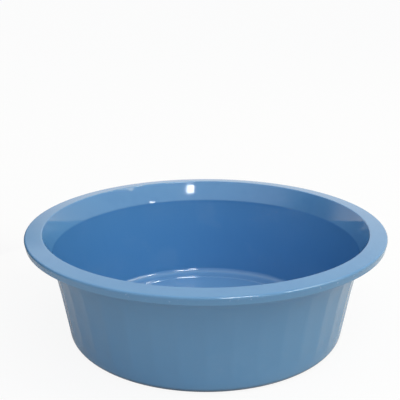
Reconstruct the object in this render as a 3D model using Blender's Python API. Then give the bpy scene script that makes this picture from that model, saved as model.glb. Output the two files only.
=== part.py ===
# Round plastic washing basin, one injection moulding, modelled as its seven turned sections.
# Metres, +Z up. The origin is the centre of the face that the basin stands on.
import math

import bmesh
import bpy

# Mouth and rim
BASIN_HEIGHT = 0.112
MOUTH_RADIUS = 0.163
FLANGE_WIDTH = 0.0172
FLANGE_DROP = 0.0014
FLANGE_THICKNESS = 0.0018
MOUTH_EDGE_RADIUS = 0.0012
UNDER_FLANGE_RADIUS = 0.0016

# Turned-down lip
LIP_DEPTH = 0.0076
LIP_THICKNESS = 0.0018
LIP_LEAN = math.radians(10.0)
LIP_EDGE_RADIUS = 0.0014
LIP_TIP_RADIUS = 0.0006
LIP_ROOT_WIDTH = 0.0045

# Flared collar and the rounded crease where it meets the wall
COLLAR_DEPTH = 0.0214
COLLAR_LEAN = math.radians(21.5)
COLLAR_THICKNESS = 0.0016
CREASE_RADIUS = 0.005
COLLAR_ROOT_DEPTH = 0.0055
WALL_ROOT_DEPTH = 0.004

# Tapered wall, which flares a little more in its head above the knee, and its flutes
WALL_LEAN = math.radians(9.37)
WALL_HEAD_LEAN = math.radians(12.3)
WALL_HEAD_DEPTH = 0.03
WALL_THICKNESS = 0.0015
FLUTE_COUNT = 40
FLUTE_DEPTH = 0.0003
FLUTE_FOOT_FADE = 0.012
FLUTE_HEAD_FADE = 0.008

# Heel, standing foot and raised floor panel
HEEL_RADIUS = 0.009
HEEL_ROOT_HEIGHT = 0.0045
FLOOR_THICKNESS = 0.0018
FOOT_WIDTH = 0.0115
PANEL_RISE = 0.0012
PANEL_STEP_WIDTH = 0.0014
BEAD_HEIGHT = 0.0007
BEAD_WIDTH = 0.0005
FOOT_ROOT_WIDTH = 0.0012
FOOT_LAND_WIDTH = 0.0018
GATE_RADIUS = 0.003
GATE_HEIGHT = 0.0006

# Clearances and mesh fineness
SEAM_GAP = 0.0003
MERGE_DISTANCE = 0.000001
RING_STEPS = 96
STEPS_PER_FLUTE = 6
CORNER_STEPS = 2
MOUTH_STEPS = 3
HEEL_STEPS = 4
FULL_TURN = 2.0 * math.pi
QUARTER_TURN = 0.5 * math.pi
HALF_GAP = SEAM_GAP / 2.0

BASIN_BLUE = (0.118, 0.275, 0.482, 1.0)
BASIN_ROUGHNESS = 0.28
SHARP_ANGLE = math.radians(35.0)


def clear_scene():
    for thing in list(bpy.data.objects):
        bpy.data.objects.remove(thing, do_unlink=True)


def plastic(name):
    material = bpy.data.materials.new(name)
    material.use_nodes = True
    shader = material.node_tree.nodes["Principled BSDF"]
    shader.inputs["Base Color"].default_value = BASIN_BLUE
    shader.inputs["Roughness"].default_value = BASIN_ROUGHNESS
    shader.inputs["Metallic"].default_value = 0.0
    material.diffuse_color = BASIN_BLUE
    return material


# Straight lines of the section, each as (radius, height) and a direction

def meet(line_a, line_b):
    (ar, az), (adr, adz) = line_a
    (br, bz), (bdr, bdz) = line_b
    cross = adr * bdz - adz * bdr
    along = ((br - ar) * bdz - (bz - az) * bdr) / cross
    return ar + along * adr, az + along * adz


def beside(line, distance):
    # The same line moved to the right of its direction
    (r, z), (dr, dz) = line
    length = math.hypot(dr, dz)
    return (r + distance * dz / length, z - distance * dr / length), (dr, dz)


def radius_on(line, height):
    (r, z), (dr, dz) = line
    return r + (height - z) * dr / dz


def height_on(line, radius):
    (r, z), (dr, dz) = line
    return z + (radius - r) * dz / dr


def through(point, other):
    return point, (other[0] - point[0], other[1] - point[1])


def leaning(point, lean):
    # A wall line that runs upwards and outwards through a point
    return point, (math.sin(lean), math.cos(lean))


def level(height):
    return (0.0, height), (1.0, 0.0)


def rounded(before, corner, after, radius, steps=CORNER_STEPS):
    # The arc of a given radius that replaces a corner between two neighbours
    in_r, in_z = before[0] - corner[0], before[1] - corner[1]
    out_r, out_z = after[0] - corner[0], after[1] - corner[1]
    in_length, out_length = math.hypot(in_r, in_z), math.hypot(out_r, out_z)
    in_r, in_z = in_r / in_length, in_z / in_length
    out_r, out_z = out_r / out_length, out_z / out_length
    half = 0.5 * math.acos(max(-1.0, min(1.0, in_r * out_r + in_z * out_z)))
    reach = min(radius / math.tan(half), 0.5 * in_length, 0.5 * out_length)
    bulge = reach * math.tan(half)
    mid_r, mid_z = in_r + out_r, in_z + out_z
    mid_length = math.hypot(mid_r, mid_z)
    away = math.hypot(reach, bulge)
    centre = corner[0] + away * mid_r / mid_length, corner[1] + away * mid_z / mid_length
    start = corner[0] + reach * in_r, corner[1] + reach * in_z
    end = corner[0] + reach * out_r, corner[1] + reach * out_z
    first = math.atan2(start[1] - centre[1], start[0] - centre[0])
    sweep = math.atan2(end[1] - centre[1], end[0] - centre[0]) - first
    sweep = (sweep + math.pi) % FULL_TURN - math.pi
    turns = [first + sweep * step / steps for step in range(steps + 1)]
    return [(centre[0] + bulge * math.cos(turn), centre[1] + bulge * math.sin(turn)) for turn in turns]


# Lines that neighbouring sections share

RIM_RADIUS = MOUTH_RADIUS + FLANGE_WIDTH
MOUTH_CORNER = (MOUTH_RADIUS, BASIN_HEIGHT)
RIM_CORNER = (RIM_RADIUS, BASIN_HEIGHT - FLANGE_DROP)
FLANGE_TOP = through(MOUTH_CORNER, RIM_CORNER)
FLANGE_UNDER = beside(FLANGE_TOP, FLANGE_THICKNESS)

COLLAR_INNER = leaning(MOUTH_CORNER, COLLAR_LEAN)
COLLAR_OUTER = beside(COLLAR_INNER, COLLAR_THICKNESS)
CREASE_HEIGHT = BASIN_HEIGHT - COLLAR_DEPTH
CREASE_CORNER = (radius_on(COLLAR_INNER, CREASE_HEIGHT), CREASE_HEIGHT)

HEAD_INNER = leaning(CREASE_CORNER, WALL_HEAD_LEAN)
HEAD_OUTER = beside(HEAD_INNER, WALL_THICKNESS)
KNEE_HEIGHT = CREASE_HEIGHT - WALL_HEAD_DEPTH
WALL_INNER = leaning((radius_on(HEAD_INNER, KNEE_HEIGHT), KNEE_HEIGHT), WALL_LEAN)
WALL_OUTER = beside(WALL_INNER, WALL_THICKNESS)

LIP_OUTER = leaning(RIM_CORNER, LIP_LEAN)
LIP_INNER = beside(LIP_OUTER, -LIP_THICKNESS)
LIP_BOTTOM = RIM_CORNER[1] - LIP_DEPTH

# Each arc of the heel is tangent to its own face of the wall and of the floor
HEEL_CENTRE = meet(beside(WALL_OUTER, -HEEL_RADIUS), level(HEEL_RADIUS))
HEEL_INNER_RADIUS = HEEL_RADIUS - FLOOR_THICKNESS
HEEL_INNER_CENTRE = meet(beside(WALL_INNER, -HEEL_INNER_RADIUS), level(HEEL_RADIUS))
FOOT_INNER_RADIUS = HEEL_CENTRE[0] - FOOT_WIDTH

# Heights and radii of the seams
RIM_SEAM = BASIN_HEIGHT - COLLAR_ROOT_DEPTH
LIP_SEAM = RIM_RADIUS - LIP_ROOT_WIDTH
WALL_SEAM = CREASE_HEIGHT - WALL_ROOT_DEPTH
HEEL_SEAM = HEEL_CENTRE[1] - HEEL_RADIUS * math.sin(WALL_LEAN) + HEEL_ROOT_HEIGHT
FOOT_SEAM = HEEL_CENTRE[0] - FOOT_ROOT_WIDTH
PANEL_SEAM = FOOT_INNER_RADIUS - PANEL_STEP_WIDTH - FOOT_LAND_WIDTH


def lip_outline():
    inside = LIP_SEAM + HALF_GAP
    top = (inside, height_on(FLANGE_TOP, inside))
    under = (inside, height_on(FLANGE_UNDER, inside))
    tip_outer = (radius_on(LIP_OUTER, LIP_BOTTOM), LIP_BOTTOM)
    tip_inner = (radius_on(LIP_INNER, LIP_BOTTOM), LIP_BOTTOM)
    root = meet(FLANGE_UNDER, LIP_INNER)
    outline = [top]
    outline += rounded(top, RIM_CORNER, tip_outer, LIP_EDGE_RADIUS)
    outline += rounded(RIM_CORNER, tip_outer, tip_inner, LIP_TIP_RADIUS, 1)
    outline += rounded(tip_outer, tip_inner, root, LIP_TIP_RADIUS, 1)
    outline += [root, under]
    return outline


def flange_outline():
    outside = LIP_SEAM - HALF_GAP
    bottom = RIM_SEAM + HALF_GAP
    top = (outside, height_on(FLANGE_TOP, outside))
    under = (outside, height_on(FLANGE_UNDER, outside))
    foot_inner = (radius_on(COLLAR_INNER, bottom), bottom)
    foot_outer = (radius_on(COLLAR_OUTER, bottom), bottom)
    root = meet(FLANGE_UNDER, COLLAR_OUTER)
    outline = [foot_inner]
    outline += rounded(foot_inner, MOUTH_CORNER, top, MOUTH_EDGE_RADIUS, MOUTH_STEPS)
    outline += [top, under]
    outline += rounded(under, root, foot_outer, UNDER_FLANGE_RADIUS)
    outline += [foot_outer]
    return outline


def collar_outline():
    top = RIM_SEAM - HALF_GAP
    bottom = WALL_SEAM + HALF_GAP
    head_inner = (radius_on(COLLAR_INNER, top), top)
    head_outer = (radius_on(COLLAR_OUTER, top), top)
    foot_inner = (radius_on(HEAD_INNER, bottom), bottom)
    foot_outer = (radius_on(HEAD_OUTER, bottom), bottom)
    crease_outer = (radius_on(COLLAR_OUTER, CREASE_HEIGHT), CREASE_HEIGHT)
    outline = [head_inner, head_outer]
    outline += rounded(head_outer, crease_outer, foot_outer, CREASE_RADIUS)
    outline += [foot_outer, foot_inner]
    outline += rounded(foot_inner, CREASE_CORNER, head_inner, CREASE_RADIUS)
    return outline


def wall_inner_point(height):
    # The wall keeps to its lower line up to the knee and to the line of its head above
    return radius_on(HEAD_INNER if height > KNEE_HEIGHT else WALL_INNER, height), height


def wall_outer_point(height):
    return radius_on(HEAD_OUTER if height > KNEE_HEIGHT else WALL_OUTER, height), height


def wall_outline():
    top = WALL_SEAM - HALF_GAP
    bottom = HEEL_SEAM + HALF_GAP
    rows = [top, top - FLUTE_HEAD_FADE, KNEE_HEIGHT, bottom + FLUTE_FOOT_FADE, bottom]
    outline = [wall_inner_point(height) for height in (bottom, KNEE_HEIGHT, top)]
    outline += [wall_outer_point(height) for height in rows]
    return outline


def heel_arc(centre, radius):
    # From straight below its centre up to where the wall leaves it
    first = -QUARTER_TURN
    sweep = QUARTER_TURN - WALL_LEAN
    turns = [first + sweep * step / HEEL_STEPS for step in range(HEEL_STEPS + 1)]
    return [(centre[0] + radius * math.cos(turn), centre[1] + radius * math.sin(turn)) for turn in turns]


def heel_outline():
    top = HEEL_SEAM - HALF_GAP
    inside = FOOT_SEAM + HALF_GAP
    outline = [(inside, FLOOR_THICKNESS), (inside, 0.0)]
    outline += heel_arc(HEEL_CENTRE, HEEL_RADIUS)
    outline += [(radius_on(WALL_OUTER, top), top), (radius_on(WALL_INNER, top), top)]
    outline += reversed(heel_arc(HEEL_INNER_CENTRE, HEEL_INNER_RADIUS))
    return outline


def foot_outline():
    # The standing ring, the step up to the panel and the low bead that edges the panel
    outside = FOOT_SEAM - HALF_GAP
    inside = PANEL_SEAM + HALF_GAP
    step_outer = FOOT_INNER_RADIUS
    step_inner = FOOT_INNER_RADIUS - PANEL_STEP_WIDTH
    panel_top = PANEL_RISE + FLOOR_THICKNESS
    return [
        (outside, 0.0),
        (outside, FLOOR_THICKNESS),
        (step_outer, FLOOR_THICKNESS),
        (step_inner, panel_top + BEAD_HEIGHT),
        (step_inner - BEAD_WIDTH, panel_top),
        (inside, panel_top),
        (inside, PANEL_RISE),
        (step_inner, PANEL_RISE),
        (step_outer, 0.0),
    ]


def panel_outline():
    outside = PANEL_SEAM - HALF_GAP
    return [
        (0.0, PANEL_RISE - GATE_HEIGHT),
        (GATE_RADIUS, PANEL_RISE - GATE_HEIGHT),
        (GATE_RADIUS, PANEL_RISE),
        (outside, PANEL_RISE),
        (outside, PANEL_RISE + FLOOR_THICKNESS),
        (0.0, PANEL_RISE + FLOOR_THICKNESS),
    ]


def turned_mesh(outline, steps, base, closed):
    # The outline spun once about the basin's axis, its heights taken from the section's own base
    mesh = bmesh.new()
    points = [mesh.verts.new((r, 0.0, z - base)) for r, z in outline]
    joins = list(zip(points, points[1:] + points[:1])) if closed else list(zip(points, points[1:]))
    edges = [mesh.edges.new(join) for join in joins]
    bmesh.ops.spin(
        mesh,
        geom=points + edges,
        cent=(0.0, 0.0, 0.0),
        axis=(0.0, 0.0, 1.0),
        angle=FULL_TURN,
        steps=steps,
        use_merge=True,
    )
    bmesh.ops.remove_doubles(mesh, verts=mesh.verts, dist=MERGE_DISTANCE)
    bmesh.ops.recalc_face_normals(mesh, faces=mesh.faces)
    return mesh


def flute(mesh, base):
    # Shallow hollows pressed into the outer face, fading out at both ends of the wall
    top = WALL_SEAM - HALF_GAP
    bottom = HEEL_SEAM + HALF_GAP
    for point in mesh.verts:
        height = point.co.z + base
        radius = math.hypot(point.co.x, point.co.y)
        middle = 0.5 * (wall_inner_point(height)[0] + wall_outer_point(height)[0])
        if radius < middle:
            continue
        azimuth = math.atan2(point.co.y, point.co.x)
        head = min(1.0, max(0.0, (top - height) / FLUTE_HEAD_FADE))
        foot = min(1.0, max(0.0, (height - bottom) / FLUTE_FOOT_FADE))
        hollow = 0.5 * (1.0 - math.cos(FLUTE_COUNT * azimuth))
        reach = 1.0 - FLUTE_DEPTH * min(head, foot) * hollow / radius
        point.co.x *= reach
        point.co.y *= reach


def add_section(name, mesh, base, axis):
    data = bpy.data.meshes.new(name)
    mesh.to_mesh(data)
    mesh.free()
    data.materials.append(plastic(name + "_plastic"))
    data.shade_smooth()
    data.set_sharp_from_angle(angle=SHARP_ANGLE)
    section = bpy.data.objects.new(name, data)
    bpy.context.scene.collection.objects.link(section)
    section.parent = axis
    section.location = (0.0, 0.0, base)
    return section


def turned_section(name, outline, base, axis, steps=RING_STEPS, closed=True, fluted=False):
    mesh = turned_mesh(outline, steps, base, closed)
    if fluted:
        flute(mesh, base)
    return add_section(name, mesh, base, axis)


def build():
    clear_scene()
    axis = bpy.data.objects.new("basin_axis", None)
    bpy.context.scene.collection.objects.link(axis)
    turned_section("turned_down_lip", lip_outline(), LIP_BOTTOM, axis)
    turned_section("rim_flange", flange_outline(), RIM_SEAM, axis)
    turned_section("flared_collar", collar_outline(), WALL_SEAM, axis)
    wall_steps = FLUTE_COUNT * STEPS_PER_FLUTE
    turned_section("fluted_wall", wall_outline(), HEEL_SEAM, axis, wall_steps, fluted=True)
    turned_section("heel", heel_outline(), 0.0, axis)
    turned_section("standing_foot", foot_outline(), 0.0, axis)
    turned_section("floor_panel", panel_outline(), PANEL_RISE, axis, closed=False)


build()
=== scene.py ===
import math

import bpy
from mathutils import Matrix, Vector


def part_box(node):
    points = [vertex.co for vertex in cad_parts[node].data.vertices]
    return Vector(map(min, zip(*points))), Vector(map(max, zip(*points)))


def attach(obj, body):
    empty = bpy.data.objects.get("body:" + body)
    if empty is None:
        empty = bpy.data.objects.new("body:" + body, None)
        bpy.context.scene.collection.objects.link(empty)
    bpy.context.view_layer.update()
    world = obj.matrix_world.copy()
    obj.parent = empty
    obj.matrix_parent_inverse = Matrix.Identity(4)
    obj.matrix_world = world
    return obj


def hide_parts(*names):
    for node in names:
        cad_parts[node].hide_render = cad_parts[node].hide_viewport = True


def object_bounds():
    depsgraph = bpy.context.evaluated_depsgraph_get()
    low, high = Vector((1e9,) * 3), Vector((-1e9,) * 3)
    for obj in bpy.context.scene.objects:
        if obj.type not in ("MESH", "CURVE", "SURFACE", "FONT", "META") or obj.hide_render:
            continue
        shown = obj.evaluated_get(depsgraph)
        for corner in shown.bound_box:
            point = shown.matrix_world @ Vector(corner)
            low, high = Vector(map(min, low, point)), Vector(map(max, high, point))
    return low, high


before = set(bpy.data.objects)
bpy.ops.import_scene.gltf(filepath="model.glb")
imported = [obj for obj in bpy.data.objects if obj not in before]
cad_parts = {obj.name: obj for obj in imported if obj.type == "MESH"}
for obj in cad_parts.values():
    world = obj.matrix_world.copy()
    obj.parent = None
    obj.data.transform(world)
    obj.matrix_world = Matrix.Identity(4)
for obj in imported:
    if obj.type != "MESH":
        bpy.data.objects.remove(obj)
cad_low, cad_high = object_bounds()

# The turned section, in metres, in the same terms as the solids
BASIN_HEIGHT = 0.112
MOUTH_RADIUS = 0.163
FLANGE_WIDTH = 0.0172
FLANGE_DROP = 0.0014
FLANGE_THICKNESS = 0.0018
MOUTH_EDGE_RADIUS = 0.0012
UNDER_FLANGE_RADIUS = 0.0016

LIP_DEPTH = 0.0076
LIP_THICKNESS = 0.0018
LIP_LEAN = math.radians(10.0)
LIP_EDGE_RADIUS = 0.0028
LIP_TIP_RADIUS = 0.0007
LIP_ROOT_RADIUS = 0.0008

COLLAR_DEPTH = 0.0214
COLLAR_LEAN = math.radians(21.5)
COLLAR_THICKNESS = 0.0016
COLLAR_BOW = 0.0004
CREASE_RADIUS = 0.005
CREASE_ROOT = 0.0015
MOUTH_ROOT = 0.0026

WALL_LEAN = math.radians(9.37)
WALL_HEAD_LEAN = math.radians(12.3)
WALL_HEAD_DEPTH = 0.03
WALL_KNEE_REACH = 0.012
WALL_THICKNESS = 0.0015
FLUTE_COUNT = 40
FLUTE_DEPTH = 0.0006
FLUTE_FULLNESS = 0.6
FLUTE_FOOT_FADE = 0.012
FLUTE_HEAD_FADE = 0.008

HEEL_RADIUS = 0.009
FLOOR_THICKNESS = 0.0018
FOOT_WIDTH = 0.0115
PANEL_RISE = 0.0012
PANEL_STEP_WIDTH = 0.0014
STEP_FILLET = 0.0008
BEAD_HEIGHT = 0.0007
BEAD_WIDTH = 0.0005
BEAD_FILLET = 0.00014
GATE_RADIUS = 0.003
GATE_HEIGHT = 0.0006
GATE_FILLET = 0.0004

# Mesh fineness
STEPS_PER_FLUTE = 12
RING_STEPS = FLUTE_COUNT * STEPS_PER_FLUTE
CORNER_STEPS = 8
HEEL_STEPS = 14
WALL_ROWS = 24
COLLAR_ROWS = 12
RIM_ROWS = 3
CORNER_SHARE = 0.45
GUARD_SHARE = 0.2
SHARP_ANGLE = math.radians(50.0)

FULL_TURN = 2.0 * math.pi
QUARTER_TURN = 0.5 * math.pi


# Lines of the section, each as a point (radius, height) and a direction

def meet(line_a, line_b):
    (ar, az), (adr, adz) = line_a
    (br, bz), (bdr, bdz) = line_b
    cross = adr * bdz - adz * bdr
    along = ((br - ar) * bdz - (bz - az) * bdr) / cross
    return ar + along * adr, az + along * adz


def beside(line, distance):
    (r, z), (dr, dz) = line
    length = math.hypot(dr, dz)
    return (r + distance * dz / length, z - distance * dr / length), (dr, dz)


def radius_on(line, height):
    (r, z), (dr, dz) = line
    return r + (height - z) * dr / dz


def height_on(line, radius):
    (r, z), (dr, dz) = line
    return z + (radius - r) * dz / dr


def through(point, other):
    return point, (other[0] - point[0], other[1] - point[1])


def leaning(point, lean):
    return point, (math.sin(lean), math.cos(lean))


def level(height):
    return (0.0, height), (1.0, 0.0)


def rounded(before, corner, after, radius):
    # The arc that replaces a corner, with a guard row beside each end so that flats stay flat
    in_r, in_z = before[0] - corner[0], before[1] - corner[1]
    out_r, out_z = after[0] - corner[0], after[1] - corner[1]
    in_length, out_length = math.hypot(in_r, in_z), math.hypot(out_r, out_z)
    in_r, in_z = in_r / in_length, in_z / in_length
    out_r, out_z = out_r / out_length, out_z / out_length
    half = 0.5 * math.acos(max(-1.0, min(1.0, in_r * out_r + in_z * out_z)))
    reach = min(radius / math.tan(half), CORNER_SHARE * in_length, CORNER_SHARE * out_length)
    bulge = reach * math.tan(half)
    mid_r, mid_z = in_r + out_r, in_z + out_z
    mid_length = math.hypot(mid_r, mid_z)
    away = math.hypot(reach, bulge)
    centre = corner[0] + away * mid_r / mid_length, corner[1] + away * mid_z / mid_length
    start = corner[0] + reach * in_r, corner[1] + reach * in_z
    end = corner[0] + reach * out_r, corner[1] + reach * out_z
    first = math.atan2(start[1] - centre[1], start[0] - centre[0])
    sweep = math.atan2(end[1] - centre[1], end[0] - centre[0]) - first
    sweep = (sweep + math.pi) % FULL_TURN - math.pi
    turns = [first + sweep * step / CORNER_STEPS for step in range(CORNER_STEPS + 1)]
    arc = [(centre[0] + bulge * math.cos(turn), centre[1] + bulge * math.sin(turn)) for turn in turns]
    guard = GUARD_SHARE * min(reach, bulge)
    ahead = start[0] + guard * in_r, start[1] + guard * in_z
    behind = end[0] + guard * out_r, end[1] + guard * out_z
    return [ahead] + arc + [behind]


RIM_RADIUS = MOUTH_RADIUS + FLANGE_WIDTH
MOUTH_CORNER = (MOUTH_RADIUS, BASIN_HEIGHT)
RIM_CORNER = (RIM_RADIUS, BASIN_HEIGHT - FLANGE_DROP)
FLANGE_TOP = through(MOUTH_CORNER, RIM_CORNER)
FLANGE_UNDER = beside(FLANGE_TOP, FLANGE_THICKNESS)

COLLAR_INNER = leaning(MOUTH_CORNER, COLLAR_LEAN)
COLLAR_OUTER = beside(COLLAR_INNER, COLLAR_THICKNESS)
CREASE_HEIGHT = BASIN_HEIGHT - COLLAR_DEPTH
CREASE_CORNER = (radius_on(COLLAR_INNER, CREASE_HEIGHT), CREASE_HEIGHT)

HEAD_INNER = leaning(CREASE_CORNER, WALL_HEAD_LEAN)
HEAD_OUTER = beside(HEAD_INNER, WALL_THICKNESS)
KNEE_HEIGHT = CREASE_HEIGHT - WALL_HEAD_DEPTH
WALL_INNER = leaning((radius_on(HEAD_INNER, KNEE_HEIGHT), KNEE_HEIGHT), WALL_LEAN)
WALL_OUTER = beside(WALL_INNER, WALL_THICKNESS)

LIP_OUTER = leaning(RIM_CORNER, LIP_LEAN)
LIP_INNER = beside(LIP_OUTER, -LIP_THICKNESS)
LIP_BOTTOM = RIM_CORNER[1] - LIP_DEPTH

HEEL_CENTRE = meet(beside(WALL_OUTER, -HEEL_RADIUS), level(HEEL_RADIUS))
HEEL_INNER_RADIUS = HEEL_RADIUS - FLOOR_THICKNESS
HEEL_INNER_CENTRE = meet(beside(WALL_INNER, -HEEL_INNER_RADIUS), level(HEEL_RADIUS))
FOOT_INNER_RADIUS = HEEL_CENTRE[0] - FOOT_WIDTH
PANEL_TOP = PANEL_RISE + FLOOR_THICKNESS


# Seams lie midway between the solids of neighbouring sections, so the pieces meet face to face

def seam_height(lower, upper):
    return 0.5 * (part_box(lower)[1].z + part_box(upper)[0].z)


def seam_radius(inner, outer):
    outer_start = min(math.hypot(v.co.x, v.co.y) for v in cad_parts[outer].data.vertices)
    return 0.5 * (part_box(inner)[1].x + outer_start)


RIM_SEAM = seam_height("flared_collar", "rim_flange")
WALL_SEAM = seam_height("fluted_wall", "flared_collar")
HEEL_SEAM = seam_height("heel", "fluted_wall")
LIP_SEAM = seam_radius("rim_flange", "turned_down_lip")
FOOT_SEAM = seam_radius("standing_foot", "heel")
PANEL_SEAM = seam_radius("floor_panel", "standing_foot")


def lip_outline():
    top = (LIP_SEAM, height_on(FLANGE_TOP, LIP_SEAM))
    under = (LIP_SEAM, height_on(FLANGE_UNDER, LIP_SEAM))
    tip_outer = (radius_on(LIP_OUTER, LIP_BOTTOM), LIP_BOTTOM)
    tip_inner = (radius_on(LIP_INNER, LIP_BOTTOM), LIP_BOTTOM)
    root = meet(FLANGE_UNDER, LIP_INNER)
    outline = [top]
    outline += rounded(top, RIM_CORNER, tip_outer, LIP_EDGE_RADIUS)
    outline += rounded(RIM_CORNER, tip_outer, tip_inner, LIP_TIP_RADIUS)
    outline += rounded(tip_outer, tip_inner, root, LIP_TIP_RADIUS)
    outline += rounded(tip_inner, root, under, LIP_ROOT_RADIUS)
    outline += [under]
    return outline


def bowed(line, height):
    # A point of the collar, which opens like a bell: it hangs a little inside its straight line
    share = (height - CREASE_HEIGHT) / COLLAR_DEPTH
    return radius_on(line, height) - 4.0 * COLLAR_BOW * share * (1.0 - share), height


def spaced(start, end, count):
    return [start + (end - start) * step / count for step in range(count + 1)]


def flange_outline():
    top = (LIP_SEAM, height_on(FLANGE_TOP, LIP_SEAM))
    under = (LIP_SEAM, height_on(FLANGE_UNDER, LIP_SEAM))
    heights = spaced(RIM_SEAM, BASIN_HEIGHT - MOUTH_ROOT, RIM_ROWS)
    inner = [bowed(COLLAR_INNER, height) for height in heights]
    outer = [bowed(COLLAR_OUTER, height) for height in heights]
    root = meet(FLANGE_UNDER, COLLAR_OUTER)
    outline = inner[:-1]
    outline += rounded(inner[-1], MOUTH_CORNER, top, MOUTH_EDGE_RADIUS)
    outline += [top, under]
    outline += rounded(under, root, outer[-1], UNDER_FLANGE_RADIUS)
    outline += reversed(outer[:-1])
    return outline


def collar_outline():
    foot_inner = (radius_on(HEAD_INNER, WALL_SEAM), WALL_SEAM)
    foot_outer = (radius_on(HEAD_OUTER, WALL_SEAM), WALL_SEAM)
    heights = spaced(CREASE_HEIGHT + CREASE_ROOT, RIM_SEAM, COLLAR_ROWS)
    inner = [bowed(COLLAR_INNER, height) for height in heights]
    outer = [bowed(COLLAR_OUTER, height) for height in heights]
    crease_outer = meet(COLLAR_OUTER, HEAD_OUTER)
    outline = list(reversed(outer[1:]))
    outline += rounded(outer[0], crease_outer, foot_outer, CREASE_RADIUS)
    outline += [foot_outer, foot_inner]
    outline += rounded(foot_inner, CREASE_CORNER, inner[0], CREASE_RADIUS)
    outline += inner[1:]
    return outline


def bent_radius(line, height):
    # A wall line that swings over from its lower lean to the lean of its head, smoothly about the knee
    past = height - KNEE_HEIGHT
    if abs(past) < WALL_KNEE_REACH:
        swung = (past + WALL_KNEE_REACH) ** 2 / (4.0 * WALL_KNEE_REACH)
    else:
        swung = max(0.0, past)
    return radius_on(line, height) + swung * (math.tan(WALL_HEAD_LEAN) - math.tan(WALL_LEAN))


def wall_outline():
    heights = spaced(HEEL_SEAM, WALL_SEAM, WALL_ROWS)
    outline = [(bent_radius(WALL_INNER, height), height) for height in heights]
    outline += [(bent_radius(WALL_OUTER, height), height) for height in reversed(heights)]
    return outline


def heel_arc(centre, radius):
    first = -QUARTER_TURN
    sweep = QUARTER_TURN - WALL_LEAN
    turns = [first + sweep * step / HEEL_STEPS for step in range(HEEL_STEPS + 1)]
    return [(centre[0] + radius * math.cos(turn), centre[1] + radius * math.sin(turn)) for turn in turns]


def heel_outline():
    outline = [(FOOT_SEAM, FLOOR_THICKNESS), (FOOT_SEAM, 0.0)]
    outline += heel_arc(HEEL_CENTRE, HEEL_RADIUS)
    outline += [(radius_on(line, HEEL_SEAM), HEEL_SEAM) for line in (WALL_OUTER, WALL_INNER)]
    outline += reversed(heel_arc(HEEL_INNER_CENTRE, HEEL_INNER_RADIUS))
    return outline


def foot_outline():
    # The standing ring, the step up to the panel and the low bead that edges the panel
    step_inner = FOOT_INNER_RADIUS - PANEL_STEP_WIDTH
    floor_outer = (FOOT_SEAM, FLOOR_THICKNESS)
    floor_step = (FOOT_INNER_RADIUS, FLOOR_THICKNESS)
    crest = (step_inner, PANEL_TOP + BEAD_HEIGHT)
    bead_foot = (step_inner - BEAD_WIDTH, PANEL_TOP)
    panel_edge = (PANEL_SEAM, PANEL_TOP)
    under_edge = (PANEL_SEAM, PANEL_RISE)
    under_step = (step_inner, PANEL_RISE)
    ring_step = (FOOT_INNER_RADIUS, 0.0)
    ring_outer = (FOOT_SEAM, 0.0)
    outline = [floor_outer]
    outline += rounded(floor_outer, floor_step, crest, STEP_FILLET)
    outline += rounded(floor_step, crest, bead_foot, BEAD_FILLET)
    outline += rounded(crest, bead_foot, panel_edge, BEAD_FILLET)
    outline += [panel_edge, under_edge]
    outline += rounded(under_edge, under_step, ring_step, STEP_FILLET)
    outline += rounded(under_step, ring_step, ring_outer, STEP_FILLET)
    outline += [ring_outer]
    return outline


def panel_outline():
    nub = PANEL_RISE - GATE_HEIGHT
    corner_low = (GATE_RADIUS, nub)
    corner_high = (GATE_RADIUS, PANEL_RISE)
    outer = (PANEL_SEAM, PANEL_RISE)
    outline = [(0.0, nub)]
    outline += rounded((0.0, nub), corner_low, corner_high, GATE_FILLET)
    outline += rounded(corner_low, corner_high, outer, GATE_FILLET)
    outline += [outer, (PANEL_SEAM, PANEL_TOP), (0.0, PANEL_TOP)]
    return outline


def smooth_share(value):
    value = max(0.0, min(1.0, value))
    return value * value * (3.0 - 2.0 * value)


def flute_depth(radius, height, azimuth):
    # Depth of the hollows pressed into the outer face of the wall
    if radius < 0.5 * (bent_radius(WALL_INNER, height) + bent_radius(WALL_OUTER, height)):
        return 0.0
    head = smooth_share((WALL_SEAM - height) / FLUTE_HEAD_FADE)
    foot = smooth_share((height - HEEL_SEAM) / FLUTE_FOOT_FADE)
    hollow = (0.5 * (1.0 - math.cos(FLUTE_COUNT * azimuth))) ** FLUTE_FULLNESS
    return FLUTE_DEPTH * min(head, foot) * hollow


def turned_mesh(name, outline, fluted):
    # A closed section turned about the axis and kept in the solids' box; a point on the axis is one pole
    rows, points, faces = [], [], []
    for radius, height in outline:
        rows.append(len(points))
        height = max(cad_low.z, min(cad_high.z, height))
        if radius == 0.0:
            points.append((0.0, 0.0, height))
            continue
        radius = min(radius, cad_high.x)
        for step in range(RING_STEPS):
            azimuth = FULL_TURN * step / RING_STEPS
            reach = radius - flute_depth(radius, height, azimuth) if fluted else radius
            points.append((reach * math.cos(azimuth), reach * math.sin(azimuth), height))
    pairs = [(row, row + 1) for row in range(len(outline) - 1)]
    if outline[0][0] > 0.0:
        pairs.append((len(outline) - 1, 0))
    for near, far in pairs:
        for step in range(RING_STEPS):
            ahead = (step + 1) % RING_STEPS
            if outline[near][0] == 0.0:
                faces.append((rows[near], rows[far] + step, rows[far] + ahead))
            elif outline[far][0] == 0.0:
                faces.append((rows[near] + step, rows[far], rows[near] + ahead))
            else:
                faces.append((rows[near] + step, rows[far] + step, rows[far] + ahead, rows[near] + ahead))
    mesh = bpy.data.meshes.new(name)
    mesh.from_pydata(points, [], faces)
    mesh.validate()
    return mesh


def face_outwards(mesh):
    volume = 0.0
    for face in mesh.polygons:
        first = mesh.vertices[face.vertices[0]].co
        for index in range(1, len(face.vertices) - 1):
            second = mesh.vertices[face.vertices[index]].co
            third = mesh.vertices[face.vertices[index + 1]].co
            volume += first.dot(second.cross(third))
    if volume < 0.0:
        mesh.flip_normals()


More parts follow.
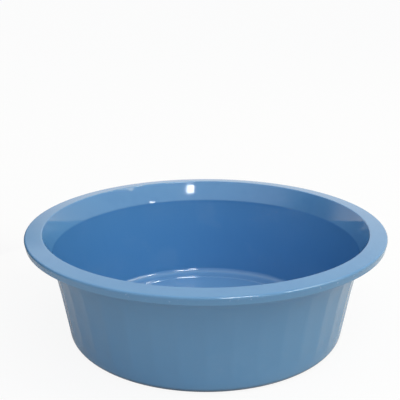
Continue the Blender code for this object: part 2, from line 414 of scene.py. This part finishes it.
UNDERSIDE_SLOPE = -0.5
ROLL_SLOPE = 0.8


def finish_faces(mesh):
    # The first finish is for what was polished in the mould, the second for the outside and the underside
    for face in mesh.polygons:
        outward = face.normal.x * face.center.x + face.normal.y * face.center.y
        outside = outward > 0.0 and face.normal.z < ROLL_SLOPE
        face.material_index = 1 if outside or face.normal.z < UNDERSIDE_SLOPE else 0


def turned_piece(name, node, outline, finishes, fluted=False):
    mesh = turned_mesh(name, outline, fluted)
    face_outwards(mesh)
    for finish in finishes:
        mesh.materials.append(finish)
    finish_faces(mesh)
    mesh.shade_smooth()
    mesh.set_sharp_from_angle(angle=SHARP_ANGLE)
    piece = bpy.data.objects.new(name, mesh)
    bpy.context.scene.collection.objects.link(piece)
    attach(piece, "root")
    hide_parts(node)


# The plastic: heights, radii and reliefs in metres, scales as counts to the metre, the rest as shares

BASIN_BLUE = (0.073, 0.236, 0.507, 1.0)
DEEP_BLUE = (0.067, 0.225, 0.492, 1.0)
# Painted light: the paler blue painted on the collar and the top of the rim
PAINTED_LIGHT_BLUE = (0.118, 0.309, 0.575, 1.0)
MILKY_BLUE = (0.117, 0.292, 0.525, 1.0)
MILKY_DEEP_BLUE = (0.108, 0.278, 0.508, 1.0)
CHALKED_BLUE = (0.235, 0.400, 0.580, 1.0)
POLISHED_ROUGHNESS = 0.04
SATIN_ROUGHNESS = 0.17
PLASTIC_INDEX = 1.54

MOTTLE_SCALE = 34.0
FLOW_AROUND, FLOW_ALONG = 46.0, 9.0
SMUDGE_SCALE, SMUDGE_DETAIL = 21.0, 5.0
SMUDGE_SHARES = (0.56, 0.72)
SCRATCH_AROUND, SCRATCH_ALONG = 5.0, 2300.0
SCRATCH_SHARES = (0.64, 0.74)
PATCH_SCALE = 11.0
PATCH_SHARES = (0.48, 0.66)
NICK_SCALE, NICK_DETAIL = 330.0, 4.0
NICK_SHARES = (0.60, 0.70)
RIM_WEAR_REACH = 0.0016
FOOT_WEAR_HEIGHT = 0.0009

# Painted light: the collar and the top of the rim are painted paler, from the crease up to the top of the
# lip
PAINTED_LIGHT_BLEND = 0.0015
PAINTED_LIGHT_LEAST = 0.5
LIP_TOP_DROP = 0.0002
LIP_TOP = RIM_CORNER[1] - LIP_TOP_DROP
# Trod: the floor, fading out just above the panel
TROD_RISES = (0.0002, 0.0022)
TROD_HEIGHTS = (PANEL_TOP + TROD_RISES[0], PANEL_TOP + TROD_RISES[1])
TROD_TINT = 0.28
# Dulled: the inner wall, from above the heel to just below the crease
DULL_FOOT = (HEEL_RADIUS, 2.0 * HEEL_RADIUS)
DULL_DROPS = (0.004, 0.001)
DULL_HEAD = (CREASE_HEIGHT - DULL_DROPS[0], CREASE_HEIGHT - DULL_DROPS[1])
WALL_DULLING = 0.11
# Polished by hands: the roll of the rim
ROLL_DROPS = (0.003, 0.001)
ROLL_HEIGHTS = (LIP_TOP - ROLL_DROPS[0], LIP_TOP - ROLL_DROPS[1])
ROLL_POLISH = -0.10
# Painted shade: dark and rougher low on the turn of the heel, where it meets the floor
HEEL_SHADE = (0.030, 0.048, 0.070, 1.0)
HEEL_SHADE_HEIGHTS = (0.0010, 0.0072)
HEEL_SHADE_WIDTH = 0.003
HEEL_SHADE_RADII = (HEEL_CENTRE[0], HEEL_CENTRE[0] + HEEL_SHADE_WIDTH)
HEEL_SHADE_TINT, HEEL_SHADE_ROUGHNESS = 0.95, 0.50

WAVE_SCALE, WAVE_HEIGHT = 16.0, 0.00015
GRAIN_SCALE, GRAIN_HEIGHT = 1200.0, 0.0000012
DRAW_AROUND, DRAW_ALONG, DRAW_HEIGHT = 210.0, 7.0, 0.000006
SCRATCH_HEIGHT = -0.000003

MOTTLE_ROUGHNESS = 0.03
SMUDGE_TINT, SMUDGE_ROUGHNESS = 0.06, 0.05
SCRATCH_TINT, SCRATCH_ROUGHNESS = 0.07, 0.08
SCUFF_TINT, SCUFF_ROUGHNESS = 0.18, 0.20


class Shading:
    # A material under construction; each method adds one node and gives its output
    def __init__(self, name):
        self.material = bpy.data.materials.new(name)
        self.material.use_nodes = True
        self.tree = self.material.node_tree
        self.shader = self.tree.nodes["Principled BSDF"]

    def feed(self, socket, value):
        if isinstance(value, bpy.types.NodeSocket):
            self.tree.links.new(value, socket)
        else:
            socket.default_value = value

    def maths(self, operation, first, second):
        node = self.tree.nodes.new("ShaderNodeMath")
        node.operation = operation
        self.feed(node.inputs[0], first)
        self.feed(node.inputs[1], second)
        return node.outputs[0]

    def vector_maths(self, operation, first, second=None):
        node = self.tree.nodes.new("ShaderNodeVectorMath")
        node.operation = operation
        self.feed(node.inputs[0], first)
        if second is not None:
            self.feed(node.inputs["Scale" if operation == "SCALE" else 1], second)
        return node.outputs["Value" if operation == "LENGTH" else "Vector"]

    def joined(self, x, y, z):
        node = self.tree.nodes.new("ShaderNodeCombineXYZ")
        for socket, value in zip(node.inputs, (x, y, z)):
            self.feed(socket, value)
        return node.outputs[0]

    def noise(self, vector, scale, detail=2.0):
        node = self.tree.nodes.new("ShaderNodeTexNoise")
        self.feed(node.inputs["Vector"], vector)
        self.feed(node.inputs["Scale"], scale)
        self.feed(node.inputs["Detail"], detail)
        return node.outputs["Fac"]

    def rise(self, value, shares):
        node = self.tree.nodes.new("ShaderNodeMapRange")
        node.interpolation_type = "SMOOTHSTEP"
        self.feed(node.inputs["Value"], value)
        self.feed(node.inputs["From Min"], shares[0])
        self.feed(node.inputs["From Max"], shares[1])
        return node.outputs["Result"]

    def blend(self, share, first, second):
        node = self.tree.nodes.new("ShaderNodeMix")
        node.data_type = "RGBA"
        self.feed(node.inputs["Factor"], share)
        self.feed(node.inputs[6], first)
        self.feed(node.inputs[7], second)
        return node.outputs[2]

    def total(self, parts):
        result = parts[0]
        for part in parts[1:]:
            result = self.maths("ADD", result, part)
        return result


def moulded_plastic(name, roughness, draw_height, inside):
    shading = Shading(name)
    tree, maths = shading.tree, shading.maths

    # Position, the unit vector round the axis, and the way along the section
    position = tree.nodes.new("ShaderNodeTexCoord").outputs["Object"]
    split = tree.nodes.new("ShaderNodeSeparateXYZ")
    tree.links.new(position, split.inputs[0])
    flat = shading.joined(split.outputs["X"], split.outputs["Y"], 0.0)
    around = shading.vector_maths("NORMALIZE", flat)
    radius = shading.vector_maths("LENGTH", flat)
    height = split.outputs["Z"]
    along = maths("ADD", radius, height)

    def stretched_noise(count_around, count_along):
        # Noise with cells of one size round the axis and another along the section
        wide = shading.vector_maths("SCALE", around, count_around)
        lift = shading.joined(0.0, 0.0, maths("MULTIPLY", along, count_along))
        return shading.noise(shading.vector_maths("ADD", wide, lift), 1.0)

    mottle = shading.noise(position, MOTTLE_SCALE)
    flow = stretched_noise(FLOW_AROUND, FLOW_ALONG)
    smudge = shading.rise(shading.noise(position, SMUDGE_SCALE, SMUDGE_DETAIL), SMUDGE_SHARES)
    patch = shading.rise(shading.noise(position, PATCH_SCALE), PATCH_SHARES)
    lines = shading.rise(stretched_noise(SCRATCH_AROUND, SCRATCH_ALONG), SCRATCH_SHARES)
    scratch = maths("MULTIPLY", lines, patch)
    nicks = shading.rise(shading.noise(position, NICK_SCALE, NICK_DETAIL), NICK_SHARES)
    rim_edge = shading.rise(radius, (RIM_RADIUS - RIM_WEAR_REACH, RIM_RADIUS))
    foot_edge = maths("LESS_THAN", height, FOOT_WEAR_HEIGHT)
    scuff = maths("MULTIPLY", nicks, maths("MAXIMUM", rim_edge, foot_edge))

    cloud = maths("MULTIPLY", maths("ADD", mottle, flow), 0.5)
    rough = [maths("MULTIPLY", mottle, MOTTLE_ROUGHNESS)]
    if inside:
        colour = shading.blend(cloud, DEEP_BLUE, BASIN_BLUE)
        # The collar and the rim are painted a little paler as painted light, and use has dulled the wall
        # and the floor
        painted_light = shading.rise(height, (CREASE_HEIGHT - PAINTED_LIGHT_BLEND, CREASE_HEIGHT + PAINTED_LIGHT_BLEND))
        above_lip = shading.rise(height, (LIP_TOP - PAINTED_LIGHT_BLEND, LIP_TOP))
        inside_lip = maths("LESS_THAN", radius, RIM_RADIUS - 2.0 * LIP_THICKNESS)
        painted_light = maths("MULTIPLY", painted_light, maths("MAXIMUM", above_lip, inside_lip))
        painted_light = maths("MULTIPLY", painted_light, maths("ADD", mottle, PAINTED_LIGHT_LEAST))
        colour = shading.blend(painted_light, colour, PAINTED_LIGHT_BLUE)
        dull = maths("SUBTRACT", shading.rise(height, DULL_FOOT), shading.rise(height, DULL_HEAD))
        rough.append(maths("MULTIPLY", dull, WALL_DULLING))
        trod = maths("SUBTRACT", 1.0, shading.rise(height, TROD_HEIGHTS))
        colour = shading.blend(maths("MULTIPLY", trod, TROD_TINT), colour, CHALKED_BLUE)
    else:
        # The satin outside looks milkier; shade is painted dark, with a rougher finish, low on the turn of
        # the heel where it meets the floor, and hands have polished the roll of the rim
        colour = shading.blend(cloud, MILKY_DEEP_BLUE, MILKY_BLUE)
        low = maths("SUBTRACT", 1.0, shading.rise(height, HEEL_SHADE_HEIGHTS))
        heel_shade = maths("MULTIPLY", low, shading.rise(radius, HEEL_SHADE_RADII))
        colour = shading.blend(maths("MULTIPLY", heel_shade, HEEL_SHADE_TINT), colour, HEEL_SHADE)
        rough.append(maths("MULTIPLY", maths("MULTIPLY", heel_shade, heel_shade), HEEL_SHADE_ROUGHNESS))
        rough.append(maths("MULTIPLY", shading.rise(height, ROLL_HEIGHTS), ROLL_POLISH))
    for mark, tint, dulling in ((smudge, SMUDGE_TINT, SMUDGE_ROUGHNESS),
                                (scratch, SCRATCH_TINT, SCRATCH_ROUGHNESS),
                                (scuff, SCUFF_TINT, SCUFF_ROUGHNESS)):
        colour = shading.blend(maths("MULTIPLY", mark, tint), colour, CHALKED_BLUE)
        rough.append(maths("MULTIPLY", mark, dulling))
    rough = maths("ADD", shading.total(rough), roughness)

    relief = [maths("MULTIPLY", shading.noise(position, WAVE_SCALE), WAVE_HEIGHT)]
    relief.append(maths("MULTIPLY", shading.noise(position, GRAIN_SCALE), GRAIN_HEIGHT))
    relief.append(maths("MULTIPLY", stretched_noise(DRAW_AROUND, DRAW_ALONG), draw_height))
    relief.append(maths("MULTIPLY", scratch, SCRATCH_HEIGHT))
    bump = tree.nodes.new("ShaderNodeBump")
    bump.inputs["Strength"].default_value = 1.0
    bump.inputs["Distance"].default_value = 1.0
    tree.links.new(shading.total(relief), bump.inputs["Height"])

    shading.shader.inputs["IOR"].default_value = PLASTIC_INDEX
    tree.links.new(colour, shading.shader.inputs["Base Color"])
    tree.links.new(rough, shading.shader.inputs["Roughness"])
    tree.links.new(bump.outputs["Normal"], shading.shader.inputs["Normal"])
    return shading.material


polished = moulded_plastic("polished_blue_plastic", POLISHED_ROUGHNESS, 0.0, True)
satin = moulded_plastic("satin_blue_plastic", SATIN_ROUGHNESS, DRAW_HEIGHT, False)
finishes = (polished, satin)

turned_piece("lip", "turned_down_lip", lip_outline(), finishes)
turned_piece("flange", "rim_flange", flange_outline(), finishes)
turned_piece("collar", "flared_collar", collar_outline(), finishes)
turned_piece("wall", "fluted_wall", wall_outline(), finishes, fluted=True)
turned_piece("heel_ring", "heel", heel_outline(), finishes)
turned_piece("foot", "standing_foot", foot_outline(), finishes)
turned_piece("panel", "floor_panel", panel_outline(), finishes)


# Floor and room

FLOOR_HALF = 60.0
FLOOR_GLOW_SHARE = 0.9
FLOOR_MIRRORED_SHARE = 0.1
FLOOR_SEEN = (0.90, 0.90, 0.90, 1.0)
FLOOR_BOUNCE = (0.68, 0.65, 0.61, 1.0)
WHITE = (1.0, 1.0, 1.0, 1.0)
ROOM_TINT = (0.96, 0.98, 1.0, 1.0)
ROOM_TOP = Vector((0.16, -0.42, 0.90)).normalized()
ROOM_LEAST, ROOM_GAIN, ROOM_FOCUS = 0.25, 1.47, 3.0


def fresh_tree(holder):
    holder.use_nodes = True
    holder.node_tree.nodes.clear()
    return holder.node_tree


def greatest(tree, values):
    result = values[0]
    for value in values[1:]:
        join = tree.nodes.new("ShaderNodeMath")
        join.operation = "MAXIMUM"
        tree.links.new(result, join.inputs[0])
        tree.links.new(value, join.inputs[1])
        result = join.outputs[0]
    return result


def ray_share(tree, seen, mirrored):
    # One share for rays from the camera and one for mirrored or transmitted rays, else nought
    path = tree.nodes.new("ShaderNodeLightPath")
    rays = {"Is Camera Ray": seen, "Is Glossy Ray": mirrored, "Is Transmission Ray": mirrored}
    shares = []
    for name, value in rays.items():
        share = tree.nodes.new("ShaderNodeMath")
        share.operation = "MULTIPLY"
        share.inputs[1].default_value = value
        tree.links.new(path.outputs[name], share.inputs[0])
        shares.append(share.outputs[0])
    return greatest(tree, shares)


def floor_material():
    # White where it is seen, with a share left matte that takes the basin's shadow
    material = bpy.data.materials.new("studio_floor")
    tree = fresh_tree(material)
    output = tree.nodes.new("ShaderNodeOutputMaterial")
    mix = tree.nodes.new("ShaderNodeMixShader")
    matte = tree.nodes.new("ShaderNodeBsdfDiffuse")
    glow = tree.nodes.new("ShaderNodeEmission")
    tone = tree.nodes.new("ShaderNodeMix")
    tone.data_type = "RGBA"
    tone.inputs[6].default_value = FLOOR_BOUNCE
    tone.inputs[7].default_value = FLOOR_SEEN
    glow.inputs["Strength"].default_value = 1.0
    tree.links.new(ray_share(tree, 1.0, 1.0), tone.inputs["Factor"])
    tree.links.new(tone.outputs[2], matte.inputs["Color"])
    tree.links.new(ray_share(tree, FLOOR_GLOW_SHARE, FLOOR_MIRRORED_SHARE), mix.inputs["Fac"])
    tree.links.new(matte.outputs[0], mix.inputs[1])
    tree.links.new(glow.outputs[0], mix.inputs[2])
    tree.links.new(mix.outputs[0], output.inputs["Surface"])
    return material


def add_floor():
    mesh = bpy.data.meshes.new("studio_floor")
    corners = [(-FLOOR_HALF, -FLOOR_HALF, 0.0), (FLOOR_HALF, -FLOOR_HALF, 0.0)]
    corners += [(FLOOR_HALF, FLOOR_HALF, 0.0), (-FLOOR_HALF, FLOOR_HALF, 0.0)]
    mesh.from_pydata(corners, [], [(0, 1, 2, 3)])
    mesh.materials.append(floor_material())
    floor = bpy.data.objects.new("studio_floor", mesh)
    bpy.context.scene.collection.objects.link(floor)


def add_world():
    # Soft room light that grows towards the ceiling, in front of a white backdrop
    world = bpy.data.worlds.new("studio")
    bpy.context.scene.world = world
    tree = fresh_tree(world)
    output = tree.nodes.new("ShaderNodeOutputWorld")
    mix = tree.nodes.new("ShaderNodeMixShader")
    room = tree.nodes.new("ShaderNodeBackground")
    backdrop = tree.nodes.new("ShaderNodeBackground")
    way = tree.nodes.new("ShaderNodeTexCoord")
    towards = tree.nodes.new("ShaderNodeVectorMath")
    above = tree.nodes.new("ShaderNodeMath")
    focused = tree.nodes.new("ShaderNodeMath")
    glow = tree.nodes.new("ShaderNodeMath")
    towards.operation = "DOT_PRODUCT"
    towards.inputs[1].default_value = ROOM_TOP
    above.operation = "MAXIMUM"
    above.inputs[1].default_value = 0.0
    focused.operation = "POWER"
    focused.inputs[1].default_value = ROOM_FOCUS
    glow.operation = "MULTIPLY_ADD"
    glow.inputs[1].default_value = ROOM_GAIN
    glow.inputs[2].default_value = ROOM_LEAST
    room.inputs["Color"].default_value = ROOM_TINT
    backdrop.inputs["Color"].default_value = WHITE
    backdrop.inputs["Strength"].default_value = 1.0
    tree.links.new(way.outputs["Generated"], towards.inputs[0])
    tree.links.new(towards.outputs["Value"], above.inputs[0])
    tree.links.new(above.outputs[0], focused.inputs[0])
    tree.links.new(focused.outputs[0], glow.inputs[0])
    tree.links.new(glow.outputs[0], room.inputs["Strength"])
    tree.links.new(ray_share(tree, 1.0, 1.0), mix.inputs["Fac"])
    tree.links.new(room.outputs[0], mix.inputs[1])
    tree.links.new(backdrop.outputs[0], mix.inputs[2])
    tree.links.new(mix.outputs[0], output.inputs["Surface"])


# Lamps round the basin: azimuth from the camera's side towards the photograph's right, elevation,
# the width and height that they fill as seen from the basin, all in degrees, then radiance
SOFTBOXES = {
    "key_softbox": (78.0, 42.0, 26.0, 26.0, 3.5),
}
# A low fill that only the matte colour shows
FILLS = {
    "front_fill": (8.0, 22.0, 44.0, 12.0, 1.6),
}
# Narrow strips that only the gloss shows
STRIPS = {
    "tall_window": (13.2, 30.3, 5.4, 8.0, 20.0),
    "wide_window": (24.0, 50.0, 17.0, 9.0, 24.0),
    "near_strip": (33.5, 15.0, 2.6, 7.0, 6.0),
    "far_strip": (46.0, 15.0, 4.5, 8.0, 12.0),
    "side_strip": (63.0, 44.0, 5.0, 8.0, 22.0),
}
KEY_TINT = (1.0, 0.94, 0.69)
LAMP_DISTANCE = 3.0
LAMP_TARGET = Vector((0.0, 0.0, 0.09))
POWER_PER_RADIANCE = 4.0


def filled(angle):
    return 2.0 * LAMP_DISTANCE * math.tan(0.5 * math.radians(angle))


def add_lamp(name, azimuth, elevation, width, height, radiance):
    data = bpy.data.lights.new(name, "AREA")
    data.shape = "RECTANGLE"
    data.size = filled(width)
    data.size_y = filled(height)
    data.energy = POWER_PER_RADIANCE * radiance * data.size * data.size_y
    lamp = bpy.data.objects.new(name, data)
    bpy.context.scene.collection.objects.link(lamp)
    turn, lift = math.radians(azimuth), math.radians(elevation)
    away = Vector((math.cos(lift) * math.sin(turn), -math.cos(lift) * math.cos(turn), math.sin(lift)))
    lamp.location = LAMP_TARGET + LAMP_DISTANCE * away
    lamp.rotation_mode = "QUATERNION"
    lamp.rotation_quaternion = away.to_track_quat("Z", "Y")
    lamp.visible_camera = False
    return lamp


# Dark curtains round the room, which the gloss mirrors: the azimuths that each spans, its
# distance and height, and whether its edges thin out
CURTAINS = {
    "front_curtain": (-70.0, 70.0, 2.2, 0.58, False),
    "side_curtain": (-128.0, -55.0, 2.2, 1.60, True),
    "near_flag": (-150.0, -58.0, 0.34, 0.26, True),
}
CURTAIN_PANELS = 14
CURTAIN_SHADE = (0.10, 0.10, 0.10, 1.0)
# Where a sheer curtain thins out, as shares of its depth along Y and of its height along Z
SHEER_EDGES = (("Y", 0.45, 0.0), ("Y", 0.70, 1.0), ("Z", 0.60, 1.0))


def clear_share(tree):
    # How clear a sheer curtain is: nought in its middle, one at its front, back and top edges
    way = tree.nodes.new("ShaderNodeTexCoord")
    place = tree.nodes.new("ShaderNodeSeparateXYZ")
    tree.links.new(way.outputs["Generated"], place.inputs[0])
    shares = []
    for axis, start, end in SHEER_EDGES:
        rise = tree.nodes.new("ShaderNodeMapRange")
        rise.interpolation_type = "SMOOTHSTEP"
        rise.inputs["From Min"].default_value = start
        rise.inputs["From Max"].default_value = end
        tree.links.new(place.outputs[axis], rise.inputs["Value"])
        shares.append(rise.outputs["Result"])
    return greatest(tree, shares)


def curtain_material(name, sheer):
    material = bpy.data.materials.new(name)
    tree = fresh_tree(material)
    matte = tree.nodes.new("ShaderNodeBsdfDiffuse")
    output = tree.nodes.new("ShaderNodeOutputMaterial")
    matte.inputs["Color"].default_value = CURTAIN_SHADE
    if not sheer:
        tree.links.new(matte.outputs[0], output.inputs["Surface"])
        return material
    clear = tree.nodes.new("ShaderNodeBsdfTransparent")
    mix = tree.nodes.new("ShaderNodeMixShader")
    tree.links.new(clear_share(tree), mix.inputs["Fac"])
    tree.links.new(matte.outputs[0], mix.inputs[1])
    tree.links.new(clear.outputs[0], mix.inputs[2])
    tree.links.new(mix.outputs[0], output.inputs["Surface"])
    return material


def add_curtain(name, first, last, distance, height, sheer):
    points, faces = [], []
    for panel in range(CURTAIN_PANELS + 1):
        turn = math.radians(first + (last - first) * panel / CURTAIN_PANELS)
        x, y = distance * math.sin(turn), -distance * math.cos(turn)
        points += [(x, y, 0.0), (x, y, height)]
    for panel in range(CURTAIN_PANELS):
        low = 2 * panel
        faces.append((low, low + 2, low + 3, low + 1))
    mesh = bpy.data.meshes.new(name)
    mesh.from_pydata(points, [], faces)
    mesh.materials.append(curtain_material(name, sheer))
    curtain = bpy.data.objects.new(name, mesh)
    bpy.context.scene.collection.objects.link(curtain)
    curtain.visible_camera = False


LENS_MM = 63.59
SENSOR_MM = 36.0
FRAME_SHIFT = -0.0145
CAMERA_PLACE = (0.0, -0.6820, 0.3386)
CAMERA_PITCH = math.radians(16.53)


def add_camera():
    data = bpy.data.cameras.new("photo_camera")
    data.lens = LENS_MM
    data.sensor_width = SENSOR_MM
    data.shift_x = FRAME_SHIFT
    camera = bpy.data.objects.new("photo_camera", data)
    bpy.context.scene.collection.objects.link(camera)
    camera.location = CAMERA_PLACE
    camera.rotation_euler = (QUARTER_TURN - CAMERA_PITCH, 0.0, 0.0)
    bpy.context.scene.camera = camera


add_floor()
add_world()
for curtain_name, curtain_values in CURTAINS.items():
    add_curtain(curtain_name, *curtain_values)
for lamp_name, lamp_values in SOFTBOXES.items():
    add_lamp(lamp_name, *lamp_values).data.color = KEY_TINT
for lamp_name, lamp_values in FILLS.items():
    add_lamp(lamp_name, *lamp_values).visible_glossy = False
for lamp_name, lamp_values in STRIPS.items():
    add_lamp(lamp_name, *lamp_values).visible_diffuse = False
add_camera()
bpy.context.scene.view_settings.view_transform = "Standard"
